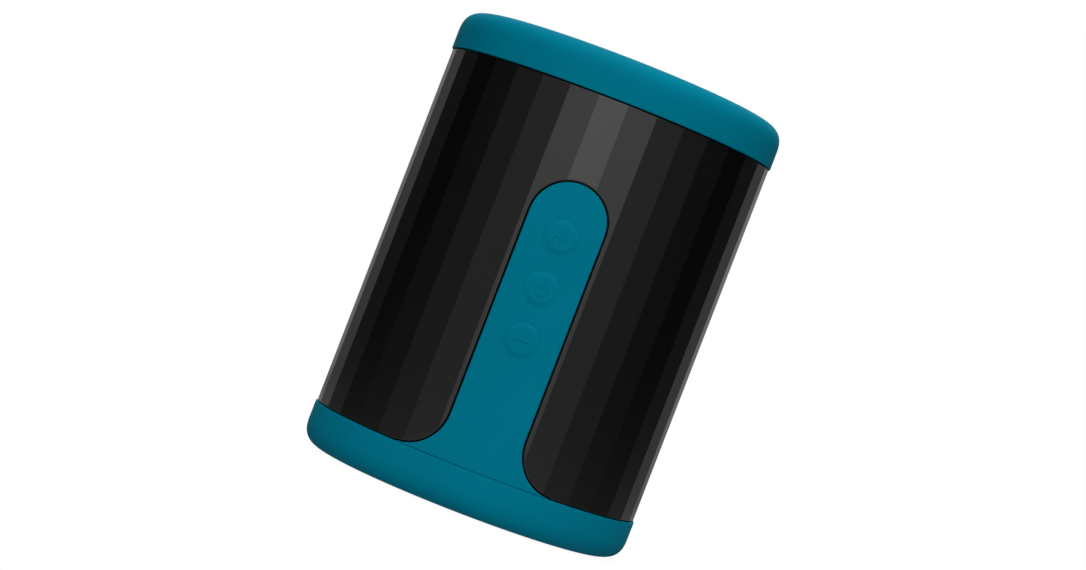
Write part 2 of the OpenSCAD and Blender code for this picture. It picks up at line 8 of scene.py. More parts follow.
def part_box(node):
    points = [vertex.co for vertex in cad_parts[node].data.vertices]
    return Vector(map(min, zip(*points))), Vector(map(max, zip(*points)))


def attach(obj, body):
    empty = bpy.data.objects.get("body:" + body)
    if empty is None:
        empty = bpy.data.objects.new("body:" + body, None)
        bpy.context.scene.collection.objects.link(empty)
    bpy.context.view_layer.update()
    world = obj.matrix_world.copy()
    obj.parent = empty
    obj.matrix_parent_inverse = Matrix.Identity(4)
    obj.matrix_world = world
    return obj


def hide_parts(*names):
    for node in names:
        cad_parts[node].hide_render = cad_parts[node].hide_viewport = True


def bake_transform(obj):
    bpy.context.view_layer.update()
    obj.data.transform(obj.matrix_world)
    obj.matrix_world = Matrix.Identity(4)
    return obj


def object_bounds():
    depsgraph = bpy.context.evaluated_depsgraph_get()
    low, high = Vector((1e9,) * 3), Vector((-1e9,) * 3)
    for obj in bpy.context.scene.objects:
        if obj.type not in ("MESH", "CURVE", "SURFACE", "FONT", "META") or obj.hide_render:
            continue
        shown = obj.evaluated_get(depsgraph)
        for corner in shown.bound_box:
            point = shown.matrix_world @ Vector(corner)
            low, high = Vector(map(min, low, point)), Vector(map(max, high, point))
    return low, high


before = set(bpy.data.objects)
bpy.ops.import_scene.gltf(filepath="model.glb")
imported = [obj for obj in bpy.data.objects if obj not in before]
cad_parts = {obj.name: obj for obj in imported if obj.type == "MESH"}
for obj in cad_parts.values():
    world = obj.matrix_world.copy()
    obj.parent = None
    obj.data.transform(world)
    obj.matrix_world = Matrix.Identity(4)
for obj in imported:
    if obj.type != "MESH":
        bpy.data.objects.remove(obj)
cad_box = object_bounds()
scene = bpy.context.scene

# ---- Camera, floor and light ----
# A long lens level with the middle of the speaker, rolled so that the upright speaker
# leans to the right in the picture. The studio's walls give a broad light in front and a
# weaker one behind, between dark sides, under a bright ceiling and over a pale floor.
MIDDLE = Vector((0, 0, cad_box[1].z / 2))
VIEW_DISTANCE = 0.667
LENS = 94.04
LEAN = radians(21.14)

camera = bpy.data.objects.new("camera", bpy.data.cameras.new("camera"))
camera.data.lens = LENS
camera.data.clip_start = 0.01
camera.matrix_world = (Matrix.Translation(MIDDLE - Vector((0, VIEW_DISTANCE, 0)))
                       @ Matrix.Rotation(pi / 2, 4, "X") @ Matrix.Rotation(LEAN, 4, "Z"))
scene.collection.objects.link(camera)
scene.camera = camera
scene.view_settings.view_transform = "Standard"


class Signal:
    """One value on its way through a material. Arithmetic on it adds Math nodes."""

    def __init__(self, tree, socket):
        self.tree = tree
        self.socket = socket

    def maths(self, operation, *values):
        return self.tree.node("ShaderNodeMath", {"operation": operation}, *values)

    def __add__(self, other):
        return self.maths("ADD", self, other)

    def __sub__(self, other):
        return self.maths("SUBTRACT", self, other)

    def __rsub__(self, other):
        return self.maths("SUBTRACT", other, self)

    def __mul__(self, other):
        return self.maths("MULTIPLY", self, other)

    def __gt__(self, other):
        return self.maths("GREATER_THAN", self, other)

    def __lt__(self, other):
        return self.maths("LESS_THAN", self, other)

    def __abs__(self):
        return self.maths("ABSOLUTE", self)

    def __pow__(self, other):
        return self.maths("POWER", self, other)

    __radd__ = __add__
    __rmul__ = __mul__


class Wiring:
    """A node tree being wired. Every node is added by its one method, node()."""

    def __init__(self, tree):
        self.tree = tree

    def node(self, kind, settings=None, *values, out=0, **named):
        made = self.tree.nodes.new(kind)
        for key, value in (settings or {}).items():
            setattr(made, key, value)
        for key, value in [*enumerate(values), *named.items()]:
            key = key.replace("_", " ") if isinstance(key, str) else key
            self.feed(made.inputs[key], value)
        return Signal(self, made.outputs[out])

    def feed(self, socket, value):
        if isinstance(value, Signal):
            self.tree.links.new(value.socket, socket)
        elif value is not None:
            socket.default_value = value


# The walls are brightest in front, a little above the speaker, and dark at the sides.
# Each of these two broad lights has a fainter and wider one level with the speaker.
FRONT_LIFT, BACK_LIFT = radians(18), radians(40)
FRONT_LIGHT, BACK_LIGHT = 3.1, 1.1
FRONT_HAZE, BACK_HAZE, ROOM_LIGHT = 0.37, 0.5, 0.006
CEILING_LIGHT = 2.8
world = bpy.data.worlds.new("studio")
world.use_nodes = True
scene.world = world
air = Wiring(world.node_tree)
direction = air.node("ShaderNodeTexCoord", out="Generated")


def wall_light(towards, focus):
    """Light that is strongest in one direction and falls off as a power of its cosine."""
    facing = air.node("ShaderNodeVectorMath", {"operation": "DOT_PRODUCT"}, direction,
                      towards, out="Value")
    return facing.maths("MAXIMUM", facing, 0) ** focus


rise = air.node("ShaderNodeSeparateXYZ", None, direction, out="Z")
ceiling = air.node("ShaderNodeMapRange", {"interpolation_type": "SMOOTHSTEP"}, Value=rise,
                   From_Min=0.7, From_Max=1.0, To_Min=0, To_Max=CEILING_LIGHT)
walls = (FRONT_LIGHT * wall_light((0, -cos(FRONT_LIFT), sin(FRONT_LIFT)), 14)
         + BACK_LIGHT * wall_light((0, cos(BACK_LIFT), sin(BACK_LIFT)), 9)
         + FRONT_HAZE * wall_light((0, -1, 0), 1)
         + BACK_HAZE * wall_light((0, 1, 0), 5) + ROOM_LIGHT)
to_eye = air.node("ShaderNodeLightPath", out="Is Camera Ray")
backdrop = world.node_tree.nodes["Background"]
backdrop.inputs["Color"].default_value = (1, 1, 1, 1)
air.feed(backdrop.inputs["Strength"], to_eye + (1 - to_eye) * (walls + ceiling))

# The floor is white to the eye. What the speaker mirrors of it is a soft pool of light in
# front and behind that fades out, and it is clear when seen from below.
FLOOR_R, POOL_R = 0.3, 0.1
FLOOR_GAP = 0.0001
PAPER_SEEN, PAPER_GLOW, POOL_GLOW = 0.95, 0.28, 0.6
sheet = bmesh.new()
bmesh.ops.create_circle(sheet, cap_ends=True, radius=FLOOR_R, segments=64)
floor = bpy.data.objects.new("floor", bpy.data.meshes.new("floor"))
sheet.to_mesh(floor.data)
sheet.free()
floor.location.z = -FLOOR_GAP
scene.collection.objects.link(floor)
paper = bpy.data.materials.new("floor_paper")
paper.use_nodes = True
floor.data.materials.append(paper)
ground = Wiring(paper.node_tree)
paper_face = paper.node_tree.nodes["Principled BSDF"]
for name, value in {"Roughness": 1, "Specular IOR Level": 0, "Base Color": (0.08, 0.08, 0.08, 1),
                    "Emission Color": (1, 1, 1, 1)}.items():
    paper_face.inputs[name].default_value = value
spot = ground.node("ShaderNodeTexCoord", out="Object")
distance = ground.node("ShaderNodeVectorMath", {"operation": "LENGTH"}, spot, out="Value")
ahead = ground.node("ShaderNodeSeparateXYZ", None, spot, out="Y")
pool = ground.node("ShaderNodeMapRange", {"interpolation_type": "SMOOTHSTEP"}, Value=distance,
                   From_Min=POOL_R, From_Max=FLOOR_R, To_Min=POOL_GLOW, To_Max=0)
pool = pool * (0.1 + ahead.maths("DIVIDE", ahead, distance) ** 2)
to_eye, to_matte, to_gloss = (ground.node("ShaderNodeLightPath", out="Is %s Ray" % ray)
                              for ray in ("Camera", "Diffuse", "Glossy"))
ground.feed(paper_face.inputs["Emission Strength"],
            PAPER_SEEN * to_eye + PAPER_GLOW * to_matte + pool * to_gloss)
from_below = ground.node("ShaderNodeNewGeometry", out="Backfacing")
clear = ground.node("ShaderNodeBsdfTransparent")
sides = ground.node("ShaderNodeMixShader", None, from_below,
                    Signal(ground, paper_face.outputs["BSDF"]), clear)
ground.feed(paper.node_tree.nodes["Material Output"].inputs["Surface"], sides)


# ---- End caps ----
# Two boots of petrol-blue silicone, compression moulded and stretched over the ends of
# the inner shell. The skin is matte with a fine blasted grain. The lower boot is closed
# and has two grip grooves; the upper one is a ring that laps over the grille.
MM = 0.001
HAIR = 0.001 * MM
CAP_SKIN = 2.4 * MM
RIM_IN, RIM_UP, RIM_SHAPE = 6.53 * MM, 5.99 * MM, 0.731
LIP_ROUND = 0.15 * MM
NECK_GAP = 0.2 * MM
MOUTH_R, MOUTH_ROUND = 31.2 * MM, 1.1 * MM
LAP_DOWN, LAP_GAP = 0.55 * MM, 0.1 * MM
GROOVE_RS = (30 * MM, 26 * MM)
GROOVE_HALF, GROOVE_FLOOR, GROOVE_DEEP = 0.45 * MM, 0.3 * MM, 0.4 * MM
DISH_R, DISH_SLOPE, DISH_DEEP = 22.5 * MM, 0.6 * MM, 0.5 * MM


class Finish(Wiring):
    """A new material, with the sockets that are the same all over it already set."""

    def __init__(self, name, colour, roughness, metallic=0.0, gloss=0.5):
        self.material = bpy.data.materials.new(name)
        self.material.use_nodes = True
        super().__init__(self.material.node_tree)
        self.face = self.tree.nodes["Principled BSDF"].inputs
        self.face["Base Color"].default_value = (*colour, 1)
        self.face["Roughness"].default_value = roughness
        self.face["Metallic"].default_value = metallic
        self.face["Specular IOR Level"].default_value = gloss
        self.place = self.node("ShaderNodeTexCoord", out="Object")

    def noise(self, scale, detail=2.0, where=None):
        """Smooth noise from 0 to 1, with scale in waves to the metre."""
        return self.node("ShaderNodeTexNoise", Vector=where or self.place, Scale=scale,
                         Detail=detail)

    def cells(self, scale, feature="F1", distance="EUCLIDEAN"):
        """Distance to the nearest of scattered points, in cells."""
        return self.node("ShaderNodeTexVoronoi", {"feature": feature, "distance": distance},
                         out="Distance", Vector=self.place, Scale=scale)

    def bands(self, period, axis):
        """Soft ridges across one axis, one to each period in metres."""
        return self.node("ShaderNodeTexWave", {"bands_direction": axis}, out="Fac",
                         Vector=self.place, Scale=tau / 20 / period)

    def weave(self, period):
        """Two crossing sets of threads in the plane of X and Y."""
        warp, weft = self.bands(period, "X"), self.bands(period, "Y")
        return warp * (1 - weft) + weft * (1 - warp)

    def stretched(self, x, y, z):
        """The object's coordinates, stretched along each axis."""
        return self.node("ShaderNodeMapping", None, Vector=self.place, Scale=(x, y, z))

    def along(self, axis):
        """One of the object's coordinates, in metres."""
        return self.node("ShaderNodeSeparateXYZ", None, self.place, out=axis)

    def spread(self, value, low, high, low_to=0.0, high_to=1.0):
        """A value stretched from one range to another, and held inside it."""
        return self.node("ShaderNodeMapRange", None, Value=value, From_Min=low,
                         From_Max=high, To_Min=low_to, To_Max=high_to)

    def mix(self, factor, first, second):
        """A colour between two others."""
        first, second = (c if isinstance(c, Signal) else (*c, 1) for c in (first, second))
        return self.node("ShaderNodeMix", {"data_type": "RGBA"}, out="Result",
                         Factor=factor, A=first, B=second)

    def bump(self, height, depth, under=None):
        """Relief of a depth in metres, laid over any other relief."""
        return self.node("ShaderNodeBump", None, Height=height, Distance=depth,
                         Normal=under)

    def show(self, colour=None, roughness=None, normal=None, metallic=None):
        """Feeds what varies over the surface to the shader."""
        wanted = {"Base Color": colour, "Roughness": roughness, "Normal": normal,
                  "Metallic": metallic}
        for name, value in wanted.items():
            self.feed(self.face[name], value)
        return self


def silicone(name):
    """Matte silicone: blasted grain, faint clouds in its tone and a little lint."""
    skin = Finish(name, (0, 0.2, 0.3), 0.6, gloss=0.01)
    clouds = skin.spread(skin.noise(60, 3), 0.3, 0.7)
    lint = skin.spread(skin.noise(2400, 1), 0.74, 0.80)
    tone = skin.mix(clouds, (0, 0.194, 0.292), (0, 0.206, 0.309))
    grain = skin.bump(skin.noise(5200), 0.000022)
    swell = skin.bump(skin.noise(420), 0.00004, grain)
    return skin.show(skin.mix(lint * 0.04, tone, (0.12, 0.30, 0.40)),
                     skin.spread(clouds, 0, 1, 0.54, 0.66), swell)


def arc(x, z, radius, start, end, steps=12):
    """Points along part of a circle, from one angle to another."""
    turns = [start + (end - start) * k / steps for k in range(steps + 1)]
    return [(x + radius * cos(a), z + radius * sin(a)) for a in turns]


def fillet(corners):
    """An open line through corners (x, z, radius), each turned into an arc."""
    line = [corners[0][:2]]
    for before, (x, z, radius), after in zip(corners, corners[1:], corners[2:]):
        here = Vector((x, z))
        back = (Vector(before[:2]) - here).normalized()
        ahead = (Vector(after[:2]) - here).normalized()
        half = back.angle(ahead) / 2
        centre = here + (back + ahead).normalized() * radius / sin(half)
        spoke = here + back * radius / tan(half) - centre
        turn = spoke.angle_signed(here + ahead * radius / tan(half) - centre)
        steps = max(3, ceil(abs(turn) / radians(12)))
        for k in range(steps + 1):
            line.append(tuple(centre + Matrix.Rotation(-turn * k / steps, 2) @ spoke))
    return line + [corners[-1][:2]]


def turned(outline, steps=192):
    """A bmesh turned on the Z axis from (radius, height) points that end where they
    start, or that start and end on the axis."""
    mesh = bmesh.new()
    points = [mesh.verts.new((r, 0, z)) for r, z in outline]
    edges = [mesh.edges.new(pair) for pair in zip(points, points[1:])]
    bmesh.ops.spin(mesh, geom=points + edges, axis=(0, 0, 1), cent=(0, 0, 0), angle=tau,
                   steps=steps, use_merge=True)
    return closed(mesh)


def closed(mesh):
    """Merges what touches and turns every face outwards."""
    bmesh.ops.remove_doubles(mesh, verts=mesh.verts, dist=HAIR / 2)
    bmesh.ops.recalc_face_normals(mesh, faces=mesh.faces)
    return mesh


def shaded(mesh, limit=35):
    """Smooth shading, with the edges that turn by more than the limit left crisp."""
    for face in mesh.faces:
        face.smooth = True
    for edge in mesh.edges:
        edge.smooth = edge.calc_face_angle(0) < radians(limit)
    return mesh


def joined(*meshes):
    """Several bmeshes as one."""
    whole = bmesh.new()
    for mesh in meshes:
        data = bpy.data.meshes.new("part")
        mesh.to_mesh(data)
        mesh.free()
        whole.from_mesh(data)
        bpy.data.meshes.remove(data)
    return whole


def settle(name, mesh, finish, slot, body, *nodes):
    """Makes a bmesh a piece that rides on a CAD body, in the place of CAD nodes."""
    data = bpy.data.meshes.new(name)
    mesh.to_mesh(data)
    mesh.free()
    data.materials.append(finish.material)
    piece = bpy.data.objects.new(name, data)
    scene.collection.objects.link(piece)
    if nodes:
        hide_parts(*nodes)
    if body:
        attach(piece, body)
    return piece


cap_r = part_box("bottom_bumper")[1].x
cap_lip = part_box("bottom_bumper")[1].z
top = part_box("top_bumper")[1].z
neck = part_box("base_plate")[1].x + NECK_GAP
petrol = silicone("petrol_silicone")

# The rim rounds over from the side to the flat end along a squared-off ellipse.
RIM_STEPS = 28
rim = [(cap_r - RIM_IN + RIM_IN * cos(t) ** RIM_SHAPE, RIM_UP - RIM_UP * sin(t) ** RIM_SHAPE)
       for t in [pi / 2 * k / RIM_STEPS for k in range(RIM_STEPS)]]
skirt = fillet([(neck, CAP_SKIN, 0), (neck, cap_lip, LIP_ROUND), (cap_r, cap_lip, LIP_ROUND),
                (cap_r, RIM_UP, 0)])

sole = [(cap_r - RIM_IN, 0, 0)]
for r in GROOVE_RS:
    sole += [(r + GROOVE_HALF, 0, 0.15 * MM), (r + GROOVE_FLOOR, GROOVE_DEEP, 0.12 * MM),
             (r - GROOVE_FLOOR, GROOVE_DEEP, 0.12 * MM), (r - GROOVE_HALF, 0, 0.15 * MM)]
sole += [(DISH_R, 0, 0.3 * MM), (DISH_R - DISH_SLOPE, DISH_DEEP, 0.3 * MM), (0, DISH_DEEP, 0)]
boot = [(0, CAP_SKIN), *skirt[:-1], *rim, *fillet(sole)]
settle("lower_cap", shaded(turned(boot)), petrol, "teal_silicone", "housing", "bottom_bumper")

lap_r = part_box("top_grille")[1].x + LAP_GAP
mouth = fillet([(cap_r - RIM_IN, 0, 0), (MOUTH_R, 0, MOUTH_ROUND),
                (MOUTH_R, CAP_SKIN + LAP_DOWN, LIP_ROUND), (lap_r, CAP_SKIN + LAP_DOWN, 0)])
hoop = [*skirt[:-1], *rim, *mouth, (lap_r, CAP_SKIN), (neck, CAP_SKIN)]
settle("upper_cap", shaded(turned([(r, top - z) for r, z in hoop])), petrol,
       "teal_silicone", "housing", "top_bumper")


# ---- Sleeve ----
# The black outer tube of the body, extruded plastic with thirty-six flat facets. Each
# facet is smooth and mirrors a different part of the room. In front it is cut out for
# the control strip and behind for the charging flap.
FACET = radians(10)
SEAM_AT = radians(-95)
EDGE_ROUND = 0.3 * MM
BACK_BEVEL = 0.2 * MM
SLEEVE_BORE = 37.4 * MM
STRIP_HALF, FLARE_R, STRIP_GAP = 8.97 * MM, 10.2 * MM, 0.3 * MM
PORT_X, PORT_LOW_Z, PORT_HIGH_Z = 7 * MM, 18.5 * MM, 23.5 * MM
PORT_ROUND = 3 * MM
FLARE_STOP = -0.9994

facet_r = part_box("body_sleeve")[1].x
sleeve_low, sleeve_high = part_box("body_sleeve")[0].z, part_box("body_sleeve")[1].z
sleeve_wall = facet_r - SLEEVE_BORE
strip_r = -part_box("control_strip")[0].y
strip_foot, strip_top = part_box("control_strip")[0].z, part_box("control_strip")[1].z
flare_x, flare_z = STRIP_HALF + FLARE_R, strip_foot + FLARE_R


def gloss_black():
    """Satin black plastic: a faint extrusion grain, smears, and dust that settles."""
    skin = Finish("satin_black", (0.002, 0.002, 0.0021), 0.3)
    smear = skin.spread(skin.noise(38, 4, skin.stretched(1, 1, 0.45)), 0.35, 0.7)
    dust = skin.spread(skin.noise(3000, 1), 0.74, 0.80)
    draw = skin.bump(skin.noise(900, 2, skin.stretched(1, 1, 0.08)), 0.000006)
    grain = skin.bump(skin.noise(6500), 0.000004, draw)
    return skin.show(skin.mix(dust * 0.03, (0.002, 0.002, 0.0021), (0.10, 0.10, 0.10)),
                     skin.spread(smear, 0, 1, 0.28, 0.33), grain)


def rounding(radius, steps=6):
    """Margin and depth of the lines that round off an edge, from the face to the side."""
    turns = [pi / 2 * k / steps for k in range(steps + 1)]
    return [(radius - radius * sin(a), radius - radius * cos(a)) for a in turns]


def slab(edge_round, thick):
    """Stages of a panel with a rounded face edge and a bevelled back edge."""
    return [*rounding(edge_round), (0, thick - BACK_BEVEL), (BACK_BEVEL, thick)]


def panel(borders, stages):
    """A slab in the plane of X and Z with its face at Y = 0. A border is a function that
    gives an outline set in by a margin, and the stages are (margin, depth) pairs."""
    mesh = bmesh.new()
    loops = []
    for border in borders:
        loops.append([])
        for margin, depth in stages:
            points = [mesh.verts.new((x, depth, z)) for x, z in border(margin)]
            pairs = zip(points, points[1:] + points[:1])
            loops[-1].append([mesh.edges.new(pair) for pair in pairs])
        for near, far in zip(loops[-1], loops[-1][1:]):
            for face in bmesh.ops.bridge_loops(mesh, edges=near + far)["faces"]:
                face.smooth = True
    for end in (0, -1):
        edges = [edge for loop in loops for edge in loop[end]]
        bmesh.ops.triangle_fill(mesh, use_beauty=True, edges=edges)
    return mesh


def wrapped(mesh, cuts, place):
    """Cuts a panel across at each place on X, and then bends it round the body."""
    for x in cuts:
        bmesh.ops.bisect_plane(mesh, geom=[*mesh.verts, *mesh.edges, *mesh.faces],
                               dist=HAIR / 10, plane_co=(x, 0, 0), plane_no=(1, 0, 0))
    for vert in mesh.verts:
        vert.co = place(*vert.co)
    return closed(mesh)


def on_facets(x, depth, z):
    """Where a point of the flat panel comes on the many-sided tube."""
    angle = x / strip_r
    ray = (facet_r - depth) / cos(angle - FACET * round(angle / FACET))
    return Vector((ray * sin(angle), -ray * cos(angle), z))


def mirrored(side):
    """A whole outline from its right-hand half, which runs upwards."""
    return side + [(-x, z) for x, z in reversed(side) if x > HAIR]


def strip_side(grow, foot):
    """Right-hand half of the strip's outline, grown by a margin and cut at its foot.
    The flare stops just short of running level."""
    start = asin(max(FLARE_STOP, (foot - flare_z) / (FLARE_R - grow)))
    flare = [(2 * flare_x - x, z) for x, z in arc(flare_x, flare_z, FLARE_R - grow, start, 0)]
    crown = arc(0, strip_top - STRIP_HALF, STRIP_HALF + grow, 0, pi / 2)
    return flare + crown


def sleeve_border(margin):
    """The tube unrolled from its seam once round to its seam, with the strip's notch."""
    seam = strip_r * SEAM_AT
    low, high = sleeve_low + margin, sleeve_high - margin
    corner = flare_x + margin
    notch = strip_side(STRIP_GAP + margin, low)
    return [(corner, low), (corner, low + STRIP_GAP), *mirrored(notch),
            (-corner, low + STRIP_GAP), (-corner, low), (seam, low), (seam, high),
            (seam + tau * strip_r, high), (seam + tau * strip_r, low)]


def behind(outline):
    """Moves an outline seen from the back to its place on the flat panel."""
    return [(pi * strip_r + strip_r * asin(x / strip_r), z) for x, z in outline]


def port_border(margin):
    """Border of the opening for the charging flap."""
    radius = PORT_ROUND + margin
    return behind(mirrored(arc(PORT_X, PORT_LOW_Z, radius, -pi / 2, 0, 8)
                           + arc(PORT_X, PORT_HIGH_Z, radius, 0, pi / 2, 8)))


# The two end walls at the seam are taken off, so that the ends meet when it is wrapped.
tube = panel([sleeve_border, port_border], slab(EDGE_ROUND, sleeve_wall))
for end in (strip_r * SEAM_AT, strip_r * (SEAM_AT + tau)):
    inside = [f for f in tube.faces if all(abs(v.co.x - end) < HAIR for v in f.verts)]
    bmesh.ops.delete(tube, geom=inside, context="FACES")
facet_lines = [strip_r * (SEAM_AT + FACET * k) for k in range(1, 36)]
settle("sleeve", wrapped(tube, facet_lines, on_facets), gloss_black(), "sleeve_black",
       "housing", "body_sleeve")


# ---- Control strip ----
# A soft skin of the same silicone that climbs the front from the lower cap, with a round
# crown and a flared foot. It is bonded to a stiff plastic carrier, and each button stands
# in a close round hole.
STRIP_THICK, STRIP_SIDE, STRIP_INSET = 1.2 * MM, 0.9 * MM, 0.6 * MM
STRIP_EDGE = 0.35 * MM
FOOT_DROP = 0.15 * MM
HOLE_R, HOLE_EASE = 4.2 * MM, 0.2 * MM
KEYS = ("plus", "power", "minus")
CUT_STEP = radians(1.25)

key_z = {key: sum(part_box("button_" + key)[i].z for i in (0, 1)) / 2 for key in KEYS}


def strip_border(margin):
    """Border of the strip, whose rounded foot comes down close to the lower cap."""
    return mirrored(strip_side(-margin, strip_foot - FOOT_DROP + 0.3 * margin))


def key_hole(z):
    """Border of a button's hole: sharp at the face and eased behind it."""
    def border(margin):
        ease = HOLE_EASE if margin > STRIP_EDGE else 0.03 * margin
        ring = arc(0, z, HOLE_R + ease, 0, tau, 64)[:-1]
        return [(strip_r * asin(x / strip_r), z) for x, z in ring]
    return border


def on_round(radius):
    """Places a flat panel on a round body of that radius."""
    def place(x, depth, z):
        angle, ray = x / strip_r, radius - depth
        return Vector((ray * sin(angle), -ray * cos(angle), z))
    return place


strip = panel([strip_border, *[key_hole(z) for z in key_z.values()]],
              [*rounding(STRIP_EDGE), (0, STRIP_SIDE), (STRIP_INSET, STRIP_THICK)])
strip_lines = [strip_r * CUT_STEP * k for k in range(-24, 25)]
settle("strip_skin", shaded(wrapped(strip, strip_lines, on_round(strip_r)), 25), petrol,
       "teal_silicone", "housing", "control_strip")


# ---- Buttons ----
# Three silicone buttons with a soft shoulder, a retaining flange inside the carrier and a
# stem that meets the switch. Their marks stand about an eighth of a millimetre proud.
PROUD = 0.3 * MM
MARK_UP, MARK_ARM, MARK_LINE = 0.12 * MM, 3.3 * MM, 0.55 * MM
MARK_EDGE = 0.1 * MM
BAR_LENGTH, BAR_UP = 1.7 * MM, 0.85 * MM
SHOULDER_R, RIM_R = 2.7 * MM, 4.17 * MM
SKIRT_R, SKIRT_IN = 4.18 * MM, 0.35 * MM
BARREL_R, BARREL_IN = 4.05 * MM, 0.5 * MM
FLANGE_R, FLANGE_IN, FLANGE_END = 4.95 * MM, 3.349 * MM, 3.949 * MM
STEM_R, STEM_END = 1.8 * MM, 4.449 * MM

shoulder = [(SHOULDER_R + (RIM_R - SHOULDER_R) * t, PROUD * (1 + cos(pi * t)) / 2)
            for t in [k / 14 for k in range(15)]]
button_outline = [
    (0, PROUD), *shoulder, (SKIRT_R, -0.04 * MM), (SKIRT_R, -SKIRT_IN),
    (BARREL_R, -BARREL_IN), (BARREL_R, -FLANGE_IN), (FLANGE_R, -FLANGE_IN),
    (FLANGE_R, -FLANGE_END), (STEM_R, -FLANGE_END), (STEM_R, -STEM_END), (0, -STEM_END)]


def on_key(x, y, height, z):
    """Puts a button's point on the strip: its face follows the strip's curve."""
    reach = strip_r + height
    bow = sqrt(reach ** 2 - x ** 2) if height > -1 * MM else reach
    return Vector((x, -bow, z + y))


def bar(length, width):
    """Border of a bar with round ends."""
    def border(margin):
        radius = width / 2 - margin
        side = arc(length / 2 - width / 2, 0, radius, -pi / 2, pi / 2, 8)
        return side + [(-x, -z) for x, z in side]
    return border


def cross(margin):
    """Border of a plus sign, one arm after the other."""
    reach, half = MARK_ARM / 2 - margin, MARK_LINE / 2 - margin
    arm = [(half, half), (reach - MARK_EDGE, half), (reach, half - MARK_EDGE),
           (reach, MARK_EDGE - half), (reach - MARK_EDGE, -half)]
    turns = [Matrix.Rotation(-pi / 2 * k, 2) for k in range(4)]
    return [tuple(turn @ Vector(point)) for turn in turns for point in arm]


def broken_ring(margin):
    """Border of a ring that is open at the top."""
    outer, inner = MARK_ARM / 2 - margin, MARK_ARM / 2 - MARK_LINE + margin
    gap = radians(32) + margin / outer
    return (arc(0, 0, outer, pi / 2 + gap, tau + pi / 2 - gap, 40)
            + arc(0, 0, inner, tau + pi / 2 - gap, pi / 2 + gap, 40))


def upright(border, up):
    """A level border stood on end, with its middle raised."""
    return lambda margin: [(z, up - x) for x, z in border(margin)]


MARKS = {"plus": [cross], "minus": [bar(MARK_ARM, MARK_LINE)],
         "power": [broken_ring, upright(bar(BAR_LENGTH, MARK_LINE), BAR_UP)]}


def relief(border, z):
    """A low raised mark, with rounded edges, on a button's face."""
    mark = panel([border], [*rounding(MARK_EDGE, 3), (0, MARK_UP + MARK_EDGE)])
    for vert in mark.verts:
        x, depth, up = vert.co
        vert.co = on_key(x, up, PROUD + MARK_UP - depth, z)
    return closed(mark)


for key, z in key_z.items():
    button = turned(button_outline, 96)
    for vert in button.verts:
        x, y, height = vert.co
        vert.co = on_key(x, y, height, z)
    marks = [shaded(relief(border, z), 50) for border in MARKS[key]]
    settle(key + "_button", joined(shaded(closed(button)), *marks), petrol,
           "teal_silicone", key + "_key", "button_" + key)


# ---- Keypad behind the strip ----
# A stiff moulded carrier, three low tactile switches with ivory plungers, the narrow
# circuit board they are soldered to, its two screws and an amber flat cable.
def dress(finish, *nodes):
    """Gives CAD nodes a material."""
    for name in nodes:
        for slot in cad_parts[name].material_slots:
            slot.material = finish.material


def moulded(name, tone, roughness=0.5):
    """Injection-moulded plastic: spark-eroded grain and faint flow marks."""
    skin = Finish(name, (tone, tone, tone), roughness)
    flow = skin.spread(skin.noise(70, 3, skin.stretched(1, 1, 0.3)), 0.3, 0.7)
    grain = skin.bump(skin.noise(2600, 3), 0.00003)
    light = skin.mix(flow, (tone * 0.85,) * 3, (tone * 1.2,) * 3)
    return skin.show(light, skin.spread(flow, 0, 1, roughness - 0.06, roughness + 0.06), grain)


def ivory():
    """Cream nylon with a slight waxy mottling."""
    skin = Finish("ivory_nylon", (0.62, 0.57, 0.45), 0.4)
    mottle = skin.spread(skin.noise(900, 3), 0.3, 0.7)
    return skin.show(skin.mix(mottle, (0.58, 0.53, 0.41), (0.68, 0.63, 0.51)),
                     skin.spread(mottle, 0, 1, 0.36, 0.48),
                     skin.bump(skin.noise(3000), 0.00001))


def circuit_board():
    """Green solder mask over copper runs, with gold-plated pads scattered on it."""
    skin = Finish("circuit_board", (0.01, 0.12, 0.05), 0.35)
    near, next_one = (skin.cells(300, feature, "CHEBYCHEV") for feature in ("F1", "F2"))
    runs = skin.spread(next_one - near, 0.03, 0.06, 1, 0)
    pads = skin.cells(420) < 0.16
    mask = skin.mix(runs, (0.008, 0.10, 0.04), (0.03, 0.24, 0.08))
    return skin.show(skin.mix(pads, mask, (0.75, 0.58, 0.22)),
                     skin.spread(skin.noise(500), 0.3, 0.7, 0.28, 0.42),
                     skin.bump(runs + pads, 0.00004), pads)


def flat_cable():
    """Amber polyimide film over a row of copper lines."""
    skin = Finish("amber_film", (0.6, 0.25, 0.04), 0.3)
    lines = skin.spread(skin.bands(1 * MM, "X"), 0.45, 0.6)
    return skin.show(skin.mix(lines, (0.45, 0.17, 0.02), (0.85, 0.42, 0.10)),
                     skin.spread(skin.noise(300), 0.3, 0.7, 0.24, 0.36),
                     skin.bump(lines, 0.00004), lines * 0.7)


def plated_steel():
    """Nickel-plated steel: fine drawn scratches and soft patches in its polish."""
    skin = Finish("plated_steel", (0.56, 0.55, 0.53), 0.3, metallic=1)
    drawn = skin.noise(1500, 3, skin.stretched(1, 1, 0.06))
    patch = skin.spread(skin.noise(140, 3), 0.3, 0.7)
    return skin.show(skin.mix(patch, (0.50, 0.49, 0.47), (0.62, 0.61, 0.60)),
                     skin.spread(drawn + patch, 0.5, 1.6, 0.22, 0.42),
                     skin.bump(drawn, 0.000008))


black_plastic = moulded("black_plastic", 0.018)
steel = plated_steel()
board_green = circuit_board()
dress(black_plastic, "key_frame", "key_switches")
dress(ivory(), "plunger_plus", "plunger_power", "plunger_minus", "board_connectors")
dress(board_green, "key_board")
dress(steel, "key_board_screws")
dress(flat_cable(), "key_ribbon")


